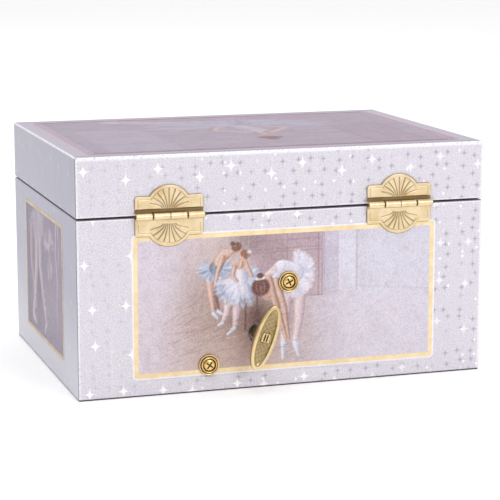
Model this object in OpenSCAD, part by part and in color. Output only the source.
// Musical jewellery box with a folding dancer, closed, seen with its hinges at the back (+Y).
// The origin is the centre of the bottom face. X is the width, Y the depth and Z the height.

/* [Box] */
// Outer width of the closed box
box_w = 160; // [156:1:170]
// Outer depth of the closed box
box_d = 115; // [113:1:122]
// Outer height of the closed box
box_h = 90; // [89:1:96]
// Outer height of the lid
lid_h = 22.5; // [21.5:0.5:24]
// Gap between the rims of the body and the lid
rim_gap = 0.5; // [0.4:0.1:0.8]
// Thickness of the wall boards
board_t = 4; // [3.6:0.2:4.2]
// Thickness of the cover paper and of the lining
paper_t = 0.3; // [0.2:0.1:0.4]
// Thickness of the base board, the lid board, the deck and the riser
panel_t = 3; // [2.8:0.1:3.2]

/* [Interior] */
// Depth of the movement chamber behind the riser
chamber_d = 28; // [27:0.5:30]
// Height of the deck's upper face above the floor
deck_z = 47.5; // [47.2:0.1:48.5]
// Place of the long divider from the middle of the box
divider_x = 26; // [20:1:34]
// Thickness of the dividers
divider_t = 2.5; // [2:0.5:3]
// Height of the dividers' upper edge above the floor
divider_z = 44; // [42:1:46]
// Diameter of a ring roll
roll_dia = 12.4; // [11:0.2:12.4]
// Number of ring rolls
roll_count = 4; // [4:1:4]
// Height of the ring tray's upper face above the floor
tray_z = 28.5; // [20:0.5:32]

/* [Mirror] */
// Width of the mirror
mirror_w = 80; // [60:2:82]
// Depth of the mirror
mirror_d = 60; // [40:2:62]

/* [Hinges] */
// Distance of each hinge from the middle of the box
hinge_x = 45.2; // [40:0.5:52]
// Width of a hinge leaf
leaf_w = 27; // [26:0.5:28]
// Diameter of the hinge knuckles
knuckle_dia = 2.7; // [2.6:0.1:2.8]
// Diameter of the hinge pins
pin_dia = 1.2; // [1:0.1:1.4]
// How far the lid opens, in degrees
lid_open = 105; // [95:1:110]

/* [Winding key] */
// Place of the key's shaft from the middle of the box
key_x = 10.8; // [8:0.2:12]
// Height of the key's shaft above the floor
key_z = 21; // [21:0.1:21.5]
// Length of the key's oval grip
key_l = 25; // [22:0.5:27]
// Width of the key's oval grip
key_w = 6.8; // [6:0.2:8]
// Lean of the grip from upright, in degrees
key_lean = 16; // [0:1:90]

/* [Dancer] */
// How far the dancer is folded under the closed lid, in degrees
fold = 65; // [62:1:68]
// Radius of the tutu
tutu_r = 14; // [11:0.5:14.5]

/* [Hidden] */
$fn = 64;

// Box outline
body_top = box_h - lid_h - rim_gap / 2;
lid_bottom = body_top + rim_gap;
sheet_t = 0.4;
board_x = box_w / 2 - paper_t;
board_y = box_d / 2 - paper_t;
inner_x = board_x - board_t;
inner_y = board_y - board_t;
lined_x = inner_x - paper_t;
lined_y = inner_y - paper_t;
floor_z = sheet_t + panel_t + paper_t;
lid_board_z = box_h - paper_t - panel_t;
riser_y = inner_y - chamber_d - panel_t;
deck_under = deck_z - paper_t - panel_t + 0.4;
front_y = riser_y - paper_t;

// Movement: distances from the key's shaft, and depths into the box from the back wall's inner face
arbor_r = 1.5;
fit = 0.05;
bed_t = 2;
barrel_r = 12;
barrel_end = 11.5;
crown_m = 0.55;
crown_n = 38;
pinion_n = 14;
crown_r = crown_m * crown_n / 2;
pinion_r = crown_m * pinion_n / 2;
crown_face = 13.2;
pitch_plane = 13.85;
train_d = pitch_plane + pinion_r;
mesh_w = 1.3;
gear_m = 0.4;
end_n = 30;
small_n = 15;
worm_n = 16;
worm_r = 1.2;
upper_c = gear_m * (end_n + small_n) / 2;
worm_a = 36.2;
worm_d = train_d - gear_m * worm_n / 2 - worm_r;
drum_r = 6.3;
drum_a = [14.3, 30.3];
pin_h = 0.6;
tracks = 18;
track_pitch = 0.85;
screw_spots = [[-11.8, 19], [19.5, -10.7]];
screw_r = 1.5;
key_hole_r = 4;

// Dancer: the spring bends along an arc between two straight tangents that meet at the pivot
doll_y = inner_y - train_d;
spring_base = deck_z + 2.6;
bend_r = 8.8;
tangent = bend_r * tan(fold / 2);
pivot_z = spring_base + tangent;
coil_r = 1.9;
wire_r = 0.32;
coils = 9;

// Hinges: the pin's axis stands off the back face
pin_off = 1.7;
leaf_t = 0.6;
shoulder = 7.5;
dome_r = 9;
dome_c = 2.5;

paper_white = "lavender";
board_grey = "tan";
lining_pink = "mistyrose";
plated = "gold";
steel = "silver";

// Solid block between two corners
module block(a, b) {
    translate(a) cube(b - a);
}

// Places the movement's own axes: +X as the box, +Z up, and -Y as the depth into the box
module movement() {
    translate([key_x, inner_y, key_z]) children();
}

// Block in the movement's axes, given by its ranges across, in depth and in height
module slab(a, d, c) {
    block([a[0], -d[1], c[0]], [a[1], -d[0], c[1]]);
}

// Round bar along the depth
module bar_d(d0, d1, r) {
    translate([0, -d0, 0]) rotate([90, 0, 0]) cylinder(h = d1 - d0, r = r);
}

// Round bar along the width
module bar_a(a0, a1, r) {
    translate([a0, 0, 0]) rotate([0, 90, 0]) cylinder(h = a1 - a0, r = r);
}

// Involute gear outline with n teeth of module m, thinned by play
function involute(x) = tan(x) * 180 / PI - x;
function half_tooth(n, m, play, r) =
    (PI * m / 2 - play) / (m * n) * 180 / PI + involute(20)
    - involute(acos(min(1, m * n / 2 * cos(20) / r)));
function tooth_radii(n, m) =
    let (p = m * n / 2) [p - 1.15 * m, max(p - 0.6 * m, p * cos(20)), p, p + 0.45 * m, p + 0.85 * m];
function gear_outline(n, m, play) = [
    for (i = [0 : n - 1]) let (radii = tooth_radii(n, m)) each concat(
        [for (r = radii) let (h = i * 360 / n - half_tooth(n, m, play, r)) r * [cos(h), sin(h)]],
        [for (k = [4 : -1 : 0]) let (r = radii[k], h = i * 360 / n + half_tooth(n, m, play, r)) r * [cos(h), sin(h)]]
    )
];
module gear(n, m, play, t) {
    linear_extrude(height = t) polygon(gear_outline(n, m, play));
}

// Oval outline
module oval(l, w) {
    polygon([for (i = [0 : 47]) [w / 2 * cos(i * 7.5), l / 2 * sin(i * 7.5)]]);
}

// Holes for the key and the two movement screws, through the back wall
module back_holes() {
    movement() {
        bar_d(-board_t - 2, 1, key_hole_r);
        for (s = screw_spots) translate([s[0], 0, s[1]]) bar_d(-board_t - 2, 1, screw_r + 0.2);
    }
}

// Box body
module bottom_sheet() {
    color("dimgray") block([-board_x, -board_y, 0], [board_x, board_y, sheet_t]);
}

module base_board() {
    color(board_grey) block([-inner_x, -inner_y, sheet_t], [inner_x, inner_y, sheet_t + panel_t]);
}

module front_wall() {
    color(board_grey) block([-board_x, -board_y, sheet_t], [board_x, -inner_y, body_top - paper_t]);
}

module back_wall() {
    color(board_grey) difference() {
        block([-board_x, inner_y, sheet_t], [board_x, board_y, body_top - paper_t]);
        back_holes();
    }
}

module side_wall() {
    color(board_grey) block([inner_x, -inner_y, sheet_t], [board_x, inner_y, body_top - paper_t]);
}

module left_wall() {
    mirror([1, 0, 0]) side_wall();
}

module right_wall() {
    side_wall();
}

module body_paper() {
    color(paper_white) difference() {
        block([-box_w / 2, -box_d / 2, sheet_t + 0.2], [box_w / 2, box_d / 2, body_top]);
        block([-board_x, -board_y, 0], [board_x, board_y, body_top - paper_t]);
        block([-inner_x, -inner_y, 0], [inner_x, inner_y, body_top + 1]);
        back_holes();
    }
}

module body_lining() {
    color(lining_pink) difference() {
        block([-inner_x, -inner_y, sheet_t + panel_t], [inner_x, inner_y, body_top]);
        block([-lined_x, -lined_y, floor_z], [lined_x, lined_y, body_top + 1]);
        block([-box_w, front_y, 0], [box_w, box_d, deck_z]);
    }
}

// Interior fittings
module riser_panel() {
    color(board_grey) block([-inner_x, riser_y, sheet_t + panel_t], [inner_x, riser_y + panel_t, deck_under]);
}

module deck_board() {
    color(board_grey) difference() {
        block([-inner_x, riser_y, deck_under], [inner_x, inner_y, deck_z - paper_t]);
        translate([key_x, doll_y, 0]) cylinder(h = box_h, r = 1.6);
        translate([key_x + worm_a, inner_y - worm_d, 0]) cylinder(h = box_h, r = 1.2);
    }
}

module deck_lining() {
    color(lining_pink) difference() {
        union() {
            block([-lined_x, front_y, deck_z - paper_t], [lined_x, lined_y, deck_z]);
            block([-lined_x, front_y, floor_z], [lined_x, riser_y, deck_z - paper_t]);
        }
        translate([key_x, doll_y, 0]) cylinder(h = box_h, r = 1.6);
        translate([key_x + worm_a, inner_y - worm_d, 0]) cylinder(h = box_h, r = 1.2);
    }
}

module lap_slot(z0, z1) {
    block([divider_x - divider_t / 2, -divider_t / 2, z0], [divider_x + divider_t / 2, divider_t / 2, z1]);
}

module long_divider() {
    color(lining_pink) difference() {
        block([divider_x - divider_t / 2, -lined_y, floor_z], [divider_x + divider_t / 2, front_y, divider_z]);
        lap_slot((floor_z + divider_z) / 2, box_h);
    }
}

module cross_divider() {
    color(lining_pink) difference() {
        block([-lined_x, -divider_t / 2, floor_z], [lined_x, divider_t / 2, divider_z]);
        lap_slot(0, (floor_z + divider_z) / 2);
    }
}

module ring_tray() {
    color(board_grey) block(
        [divider_x + divider_t / 2, -lined_y, tray_z - divider_t],
        [lined_x, -divider_t / 2, tray_z]
    );
}

module ring_roll(i) {
    span = lined_y - divider_t / 2;
    x0 = divider_x + divider_t / 2 + 0.3;
    color("pink") translate([x0, -lined_y + span * (i - 0.5) / roll_count, tray_z + 0.1 + roll_dia / 2])
        rotate([0, 90, 0]) cylinder(h = lined_x - 0.3 - x0, r = roll_dia / 2);
}

// Lid
module lid_top_board() {
    color(board_grey) block([-board_x, -board_y, lid_board_z], [board_x, board_y, box_h - paper_t]);
}

module lid_front_rail() {
    color(board_grey) block([-board_x, -board_y, lid_bottom + paper_t], [board_x, -inner_y, lid_board_z]);
}

module lid_back_rail() {
    mirror([0, 1, 0]) lid_front_rail();
}

module lid_right_rail() {
    color(board_grey) block([inner_x, -inner_y, lid_bottom + paper_t], [board_x, inner_y, lid_board_z]);
}

module lid_left_rail() {
    mirror([1, 0, 0]) lid_right_rail();
}

module lid_paper() {
    color(paper_white) difference() {
        block([-box_w / 2, -box_d / 2, lid_bottom], [box_w / 2, box_d / 2, box_h]);
        block([-board_x, -board_y, lid_bottom + paper_t], [board_x, board_y, box_h - paper_t]);
        block([-inner_x, -inner_y, 0], [inner_x, inner_y, lid_board_z]);
    }
}

module lid_lining() {
    color(lining_pink) difference() {
        block([-inner_x, -inner_y, lid_bottom], [inner_x, inner_y, lid_board_z]);
        block([-lined_x, -lined_y, 0], [lined_x, lined_y, lid_board_z - paper_t]);
    }
}

mirror_y = 8;
frame_w = 2;
module mirror_block(grow, z0) {
    block(
        [-mirror_w / 2 - grow, mirror_y - mirror_d / 2 - grow, z0],
        [mirror_w / 2 + grow, mirror_y + mirror_d / 2 + grow, lid_board_z - paper_t]
    );
}

module mirror_glass() {
    color("lightcyan") mirror_block(0, lid_board_z - paper_t - 1.5);
}

module mirror_frame() {
    color(plated) difference() {
        mirror_block(frame_w, lid_board_z - paper_t - 0.8);
        mirror_block(0, 0);
    }
}

// Hinges: drawn about the pin's axis, with the wall's face at -pin_off
leaf_foot = 1.6;
middle = leaf_w / 4 - 0.05;

module leaf_outline(strap_in, strap_out) {
    chamfer = 0.9;
    difference() {
        union() {
            polygon([
                [-leaf_w / 2, leaf_foot], [leaf_w / 2, leaf_foot], [leaf_w / 2, shoulder - chamfer],
                [leaf_w / 2 - chamfer, shoulder], [chamfer - leaf_w / 2, shoulder], [-leaf_w / 2, shoulder - chamfer]
            ]);
            translate([0, dome_c]) circle(r = dome_r);
        }
        translate([-leaf_w, leaf_foot - 2 * dome_r]) square([2 * leaf_w, 2 * dome_r]);
    }
    for (s = [-1, 1]) translate([s > 0 ? strap_in : -strap_out, 0]) square([strap_out - strap_in, leaf_foot]);
}

module leaf_plate(strap_in, strap_out) {
    translate([0, -pin_off + leaf_t, 0]) rotate([90, 0, 0]) linear_extrude(height = leaf_t)
        leaf_outline(strap_in, strap_out);
}

module hinge_at(side) {
    translate([side * hinge_x, box_d / 2 + pin_off, (body_top + lid_bottom) / 2]) children();
}

module upper_leaf(side) {
    color(plated) hinge_at(side) difference() {
        union() {
            leaf_plate(0, middle);
            bar_a(-middle, middle, knuckle_dia / 2);
            block([-leaf_w / 2 + 0.4, -pin_off + leaf_t, 1.9], [leaf_w / 2 - 0.4, 0.7, 2.4]);
        }
        bar_a(-leaf_w, leaf_w, pin_dia / 2 + fit);
    }
}

module lower_leaf(side) {
    color(plated) hinge_at(side) difference() {
        union() {
            mirror([0, 0, 1]) leaf_plate(leaf_w / 4 + 0.05, leaf_w / 2 - 0.1);
            for (s = [-1, 1]) scale([s, 1, 1]) bar_a(leaf_w / 4 + 0.05, leaf_w / 2 - 0.1, knuckle_dia / 2);
        }
        bar_a(-leaf_w, leaf_w, pin_dia / 2);
    }
}

module hinge_pin(side) {
    color(plated) hinge_at(side) bar_a(-leaf_w / 2, leaf_w / 2, pin_dia / 2);
}

// Fasteners and key outside the back wall
out = -board_t - paper_t;
module cup_washers() {
    color(plated) movement() for (s = screw_spots) translate([s[0], out, s[1]]) mirror([0, 1, 0])
        translate([0, 2 * out, 0]) rotate([90, 0, 0]) rotate_extrude()
            polygon([[screw_r + 0.2, 0], [4, 0], [3.8, 0.7], [3, 1.4], [2.5, 1.5], [2.5, 0.3], [screw_r + 0.2, 0.3]]);
}

module movement_screws() {
    color(plated) movement() for (s = screw_spots) translate([s[0], 0, s[1]]) difference() {
        union() {
            bar_d(out - 0.3, 3.2, screw_r);
            bar_d(out - 1.5, out - 0.3, 2.4);
        }
        for (t = [0, 90]) rotate([0, t + 30, 0]) slab([-1.5, 1.5], [out - 2, out - 0.9], [-0.3, 0.3]);
    }
}

grip_d = out - 9;
module winding_key() {
    color(plated) movement() rotate([0, -key_lean, 0]) difference() {
        union() {
            bar_d(grip_d + 1, out + 0.8, 2.6);
            translate([0, -grip_d + 1.6, 0]) rotate([90, 0, 0]) linear_extrude(height = 3.2) oval(key_l, key_w);
        }
        translate([0, -grip_d + 2, 0]) rotate([90, 0, 0]) linear_extrude(height = 1) oval(key_l - 2.6, key_w - 2.6);
        bar_d(grip_d + 3, 5, arbor_r);
    }
}

// Movement, driving side
module key_arbor() {
    color(steel) movement() bar_d(grip_d + 3, crown_face + 1.4, arbor_r);
}

module crown_tooth() {
    play = 0.2;
    half = PI * crown_m / 4 - play / 2;
    foot = pitch_plane - crown_face + 0.05;
    rise = 0.85 * crown_m;
    translate([crown_r - mesh_w / 2, -pitch_plane, 0]) rotate([90, 0, 90]) linear_extrude(height = mesh_w)
        polygon([
            [foot, -half - foot * tan(20)], [foot, half + foot * tan(20)],
            [-rise, half - rise * tan(20)], [-rise, rise * tan(20) - half]
        ]);
}

module great_wheel() {
    color("goldenrod") movement() difference() {
        union() {
            bar_d(barrel_end + 0.4, crown_face, crown_r + mesh_w / 2);
            for (i = [0 : crown_n - 1]) rotate([0, (i + 0.5) * 360 / crown_n, 0]) crown_tooth();
        }
        bar_d(0, 20, arbor_r);
        for (i = [0 : 4]) rotate([0, i * 72 + 36, 0]) translate([5.6, 0, 0]) bar_d(0, 20, 2.1);
    }
}

module bedplate() {
    color(steel) movement() difference() {
        slab([-14, 40.5], [0, bed_t], [-17.4, 23]);
        bar_d(-1, 20, arbor_r + fit);
        for (s = screw_spots) translate([s[0], 0, s[1]]) bar_d(-1, 20, screw_r);
    }
}

module spring_barrel() {
    wall = 0.8;
    color(steel) movement() difference() {
        bar_d(bed_t, barrel_end, barrel_r);
        bar_d(bed_t - 1, barrel_end - wall, barrel_r - wall);
        bar_d(0, 20, arbor_r + fit);
    }
}

function spiral(r0, r1, turns, n) = [
    for (i = [0 : n]) let (r = r0 + (r1 - r0) * i / n, t = 360 * turns * i / n) r * [cos(t), sin(t)]
];
module mainspring() {
    turns = 6;
    band = 0.35;
    inner = spiral(arbor_r + 0.4, barrel_r - 1.5, turns, turns * 20);
    outer = spiral(arbor_r + 0.4 + band, barrel_r - 1.5 + band, turns, turns * 20);
    color("slategray") movement() translate([0, -bed_t - 0.4, 0]) rotate([90, 0, 0]) linear_extrude(height = 7.6)
        polygon(concat(inner, [for (i = [len(outer) - 1 : -1 : 0]) outer[i]]));
}

// Movement, cylinder side
drum_arbor_r = 0.8;
right_bracket = [31, 32.2];
module left_bearing_bracket() {
    color(steel) movement() difference() {
        union() {
            slab([12.5, 13.5], [bed_t, train_d + 3], [-4.5, 4.5]);
            slab([12.5, 19], [bed_t, bed_t + 1], [-4.5, 4.5]);
        }
        translate([0, -train_d, 0]) bar_a(0, 40, drum_arbor_r + fit);
    }
}

module right_bearing_bracket() {
    color(steel) movement() difference() {
        union() {
            slab(right_bracket, [bed_t, train_d + 3], [-4.5, upper_c + 3]);
            slab([26, right_bracket[1]], [bed_t, bed_t + 1], [-4.5, upper_c + 3]);
        }
        translate([0, -train_d, 0]) bar_a(0, 40, drum_arbor_r + fit);
        translate([0, -train_d, upper_c]) bar_a(0, 40, drum_arbor_r + fit);
    }
}

module music_cylinder() {
    color("goldenrod") movement() translate([0, -train_d, 0]) {
        bar_a(9.3, 34.6, drum_arbor_r);
        bar_a(drum_a[0], drum_a[1], drum_r);
        translate([crown_r - mesh_w / 2 - 0.1, 0, 0]) rotate([0, 90, 0]) rotate(90) gear(pinion_n, crown_m, 0.2, mesh_w + 0.2);
        for (i = [0 : tracks - 1]) for (k = [0 : 3])
            translate([drum_a[0] + 0.8 + i * track_pitch, 0, 0]) rotate([i * 137.5 + k * 83 + i * k * 11, 0, 0])
                cylinder(h = drum_r + pin_h, r = 0.2);
    }
}

module end_wheel() {
    color("goldenrod") movement() translate([33, -train_d, 0]) difference() {
        rotate([0, 90, 0]) gear(end_n, gear_m, 0.16, 1);
        bar_a(-1, 3, drum_arbor_r);
    }
}

comb_tip = -(drum_r + pin_h + 0.3);
module comb_bed() {
    color(steel) movement() difference() {
        slab([drum_a[0], drum_a[1]], [bed_t, train_d - 0.8], [-17.4, -13]);
        comb_screw_holes();
    }
}

module comb_screw_holes() {
    for (x = [18.3, 26.3]) translate([x, 0, -15.2]) bar_d(train_d - 5, 25, 0.9);
}

module music_comb() {
    first = drum_a[0] + 0.8;
    color("gainsboro") movement() difference() {
        union() {
            slab([drum_a[0] + 0.2, drum_a[1] - 0.2], [train_d - 0.8, train_d + 0.8], [-17.4, -13.4]);
            for (i = [0 : tracks - 1]) let (x = first + i * track_pitch)
                slab([x - 0.3, x + 0.3], [train_d - 0.25, train_d + 0.25], [-13.6, comb_tip]);
        }
        comb_screw_holes();
    }
}

module comb_screws() {
    color(steel) movement() for (x = [18.3, 26.3]) translate([x, 0, -15.2]) difference() {
        union() {
            bar_d(train_d - 4.5, train_d + 0.8, 0.9);
            bar_d(train_d + 0.8, train_d + 1.9, 1.7);
        }
        slab([-2, 2], [train_d + 1.4, train_d + 3], [-0.25, 0.25]);
    }
}

// Movement, governor side
module intermediate_arbor() {
    color("goldenrod") movement() translate([0, -train_d, upper_c]) {
        bar_a(right_bracket[0] - 0.4, 40.2, drum_arbor_r);
        translate([33, 0, 0]) rotate([0, 90, 0]) rotate(180 / small_n) gear(small_n, gear_m, 0.16, 1);
        translate([worm_a - 0.6, 0, 0]) rotate([0, 90, 0]) gear(worm_n, gear_m, 0.2, 1.2);
    }
}

// Right-handed thread swept about Z; a gap of the thread faces -Y at height 0
thread_pitch = PI * gear_m;
function thread_ring(t) = [
    for (p = [[worm_r - 0.6, -0.36], [worm_r + 0.3, -0.11], [worm_r + 0.3, 0.11], [worm_r - 0.6, 0.36]])
        [p[0] * cos(360 * t - 90), p[0] * sin(360 * t - 90), thread_pitch * (t + 0.5) + p[1]]
];
module worm_thread(turns) {
    steps = 18;
    n = 2 * turns * steps;
    points = [for (i = [0 : n]) each thread_ring(i / steps - turns)];
    sides = [for (i = [0 : n - 1]) for (k = [0 : 3]) let (a = 4 * i + k, b = 4 * i + (k + 1) % 4) each [[a, b, b + 4], [a, b + 4, a + 4]]];
    polyhedron(points, concat(sides, [[0, 2, 1], [0, 3, 2], [4 * n, 4 * n + 1, 4 * n + 2], [4 * n, 4 * n + 2, 4 * n + 3]]), convexity = 10);
}

shelf_low = [3.4, 4.6];
shelf_high = [17.8, 19];
governor_r = 0.5;
module governor_worm() {
    color(steel) movement() translate([worm_a, -worm_d, 0]) {
        translate([0, 0, shelf_low[0] - 0.4]) cylinder(h = 20.4 - shelf_low[0] + 0.4, r = governor_r);
        translate([0, 0, upper_c - 3]) cylinder(h = 6, r = worm_r - 0.45);
        translate([0, 0, upper_c]) worm_thread(2);
    }
}

module governor_fan() {
    color("ivory") movement() translate([worm_a, -worm_d, 0]) difference() {
        union() {
            translate([0, 0, 13.2]) cylinder(h = 4, r = 1.1);
            block([-3.4, -0.2, 13.2], [3.4, 0.2, 17.2]);
            translate([0, 0, 19.4]) cylinder(h = 1, r = 2.4);
        }
        cylinder(h = 30, r = governor_r);
    }
}

module governor_bracket() {
    color(steel) movement() difference() {
        union() {
            slab([34.8, 39.8], [bed_t, bed_t + 1], [shelf_low[0], shelf_high[1]]);
            slab([34.8, 39.8], [bed_t, worm_d + 2], shelf_low);
            slab([34.8, 38.4], [bed_t, worm_d + 2], shelf_high);
            slab([38.8, 39.8], [bed_t, train_d + 2.5], [shelf_low[0], 12.6]);
        }
        translate([worm_a, -worm_d, 0]) cylinder(h = 40, r = governor_r + fit);
        translate([0, -train_d, upper_c]) bar_a(30, 45, drum_arbor_r + fit);
    }
}

// Dancer's drive
spindle_r = 1;
bridge_c = [14.2, 15.4];
module spindle() {
    color(steel) {
        translate([key_x, doll_y, key_z + crown_r - mesh_w / 2 - 0.7])
            cylinder(h = deck_z + 0.6 - key_z - crown_r + mesh_w / 2 + 0.7, r = spindle_r);
        translate([key_x, doll_y, key_z + crown_r - mesh_w / 2 - 0.1]) gear(pinion_n, crown_m, 0.2, mesh_w + 0.2);
        translate([key_x, doll_y, key_z + bridge_c[1] + 0.2]) cylinder(h = 1, r = 2.2);
    }
}

module spindle_bracket() {
    color(steel) movement() difference() {
        union() {
            slab([-4, 4], [bed_t, train_d + 3], bridge_c);
            slab([-4, 4], [bed_t, bed_t + 1], [bridge_c[0], 21]);
        }
        translate([0, -train_d, 0]) cylinder(h = 40, r = spindle_r + fit);
    }
}

module turntable() {
    color("white") translate([key_x, doll_y, 0]) difference() {
        union() {
            translate([0, 0, deck_z + 0.6]) cylinder(h = 1, r = 9);
            translate([0, 0, deck_z + 1.6]) cylinder(h = 0.9, r1 = 3.6, r2 = 2.6);
            translate([0, 0, deck_z - 1.4]) cylinder(h = 2, r = 1.5);
        }
        translate([0, 0, key_z]) cylinder(h = deck_z + 0.6 - key_z, r = spindle_r);
    }
}

// Point on the bent spring: angle a from upright along the arc, and turn t around the wire's coil
function spring_point(a, t, r) = [
    r * cos(t),
    -bend_r * (1 - cos(a)) + r * sin(t) * cos(a),
    bend_r * sin(a) + r * sin(t) * sin(a)
];
module doll_spring() {
    steps = coils * 14;
    sides = 6;
    lead = [for (i = [0 : steps]) spring_point(2 + (fold - 4) * i / steps, 360 * coils * i / steps, coil_r)];
    core = [for (i = [0 : steps]) spring_point(2 + (fold - 4) * i / steps, 0, 0)];
    rings = [for (i = [0 : steps]) let (
        out_v = (lead[i] - core[i]) / norm(lead[i] - core[i]),
        way = lead[min(steps, i + 1)] - lead[max(0, i - 1)],
        up_c = cross(way, out_v),
        up_v = up_c / norm(up_c)
    ) each [for (k = [0 : sides - 1]) lead[i] + wire_r * (cos(360 * k / sides) * out_v + sin(360 * k / sides) * up_v)]];
    walls = [for (i = [0 : steps - 1]) for (k = [0 : sides - 1])
        let (a = sides * i + k, b = sides * i + (k + 1) % sides) each [[a, b, b + sides], [a, b + sides, a + sides]]];
    caps = [for (k = [1 : sides - 2]) each [[0, k + 1, k], [sides * steps, sides * steps + k, sides * steps + k + 1]]];
    color(steel) translate([key_x, doll_y, spring_base]) polyhedron(rings, concat(walls, caps), convexity = 10);
}

// Figure: drawn upright from the pivot, then folded forward
module doll() {
    translate([key_x, doll_y, pivot_z]) rotate([fold, 0, 0]) children();
}

module limb(points, radii) {
    for (i = [0 : len(points) - 2]) hull() {
        translate(points[i]) sphere(r = radii[i], $fn = 20);
        translate(points[i + 1]) sphere(r = radii[i + 1], $fn = 20);
    }
}

foot_z = tangent + 2.4;
hip_z = foot_z + 19;
module ballerina_figure() {
    color("bisque") doll() {
        translate([0, 0, tangent + 0.2]) cylinder(h = 2, r1 = 2.6, r2 = 1.8, $fn = 24);
        for (s = [-1, 1]) {
            limb([[s * 0.7, 0, foot_z - 0.4], [s * 1, 0, foot_z + 6.5], [s * 1.1, 0, foot_z + 10.5], [s * 1.3, 0, hip_z]],
                [0.6, 1.2, 1, 1.5]);
            limb([[s * 2.7, 0, hip_z + 9], [s * 4.6, -0.6, hip_z + 14], [s * 1.1, -0.8, hip_z + 19.4]], [0.9, 0.7, 0.5]);
        }
        limb([[0, 0, hip_z + 0.4], [0, 0, hip_z + 4], [0, 0, hip_z + 7.4], [0, 0, hip_z + 9.4], [0, 0, hip_z + 11.4]],
            [2.5, 1.8, 2.2, 1.1, 0.8]);
        hull() for (s = [-1, 1]) translate([s * 2.2, 0, hip_z + 8.7]) sphere(r = 1, $fn = 20);
        translate([0, -0.2, hip_z + 13.2]) sphere(r = 2.3, $fn = 24);
        translate([0, 1.9, hip_z + 14.4]) sphere(r = 1.1, $fn = 20);
    }
}

module ballerina_tutu() {
    color("lightpink") doll() translate([0, 0, hip_z]) rotate_extrude()
        polygon([[2.9, 2.4], [2.9, 0], [5, -0.4], [tutu_r - 1, -1.6], [tutu_r, -1.2], [5, 1.4]]);
}

rod_r = 0.7;
module stop_rod() {
    color(steel) translate([key_x + worm_a, inner_y - worm_d, 0]) {
        translate([0, 0, key_z + 20.6]) cylinder(h = 0.9, r = 1.6);
        translate([0, 0, key_z + 21]) cylinder(h = lid_board_z - paper_t - 0.6 - key_z - 21, r = rod_r);
        translate([0, 0, lid_board_z - paper_t - 1.6]) cylinder(h = 1.2, r = 1.8);
    }
}

bottom_sheet();
base_board();
front_wall();
back_wall();
left_wall();
right_wall();
body_paper();
body_lining();
riser_panel();
deck_board();
deck_lining();
long_divider();
cross_divider();
ring_tray();
ring_roll(1);  // ring_roll_1
ring_roll(2);  // ring_roll_2
ring_roll(3);  // ring_roll_3
ring_roll(4);  // ring_roll_4
lid_top_board();
lid_front_rail();
lid_back_rail();
lid_left_rail();
lid_right_rail();
lid_paper();
lid_lining();
mirror_glass();
mirror_frame();
upper_leaf(-1);  // left_hinge_upper_leaf
lower_leaf(-1);  // left_hinge_lower_leaf
hinge_pin(-1);  // left_hinge_pin
upper_leaf(1);  // right_hinge_upper_leaf
lower_leaf(1);  // right_hinge_lower_leaf
hinge_pin(1);  // right_hinge_pin
cup_washers();
movement_screws();
winding_key();
key_arbor();
great_wheel();
bedplate();
spring_barrel();
mainspring();
left_bearing_bracket();
right_bearing_bracket();
music_cylinder();
end_wheel();
comb_bed();
music_comb();
comb_screws();
intermediate_arbor();
governor_worm();
governor_fan();
governor_bracket();
spindle();
spindle_bracket();
turntable();
doll_spring();
ballerina_figure();
ballerina_tutu();
stop_rod();
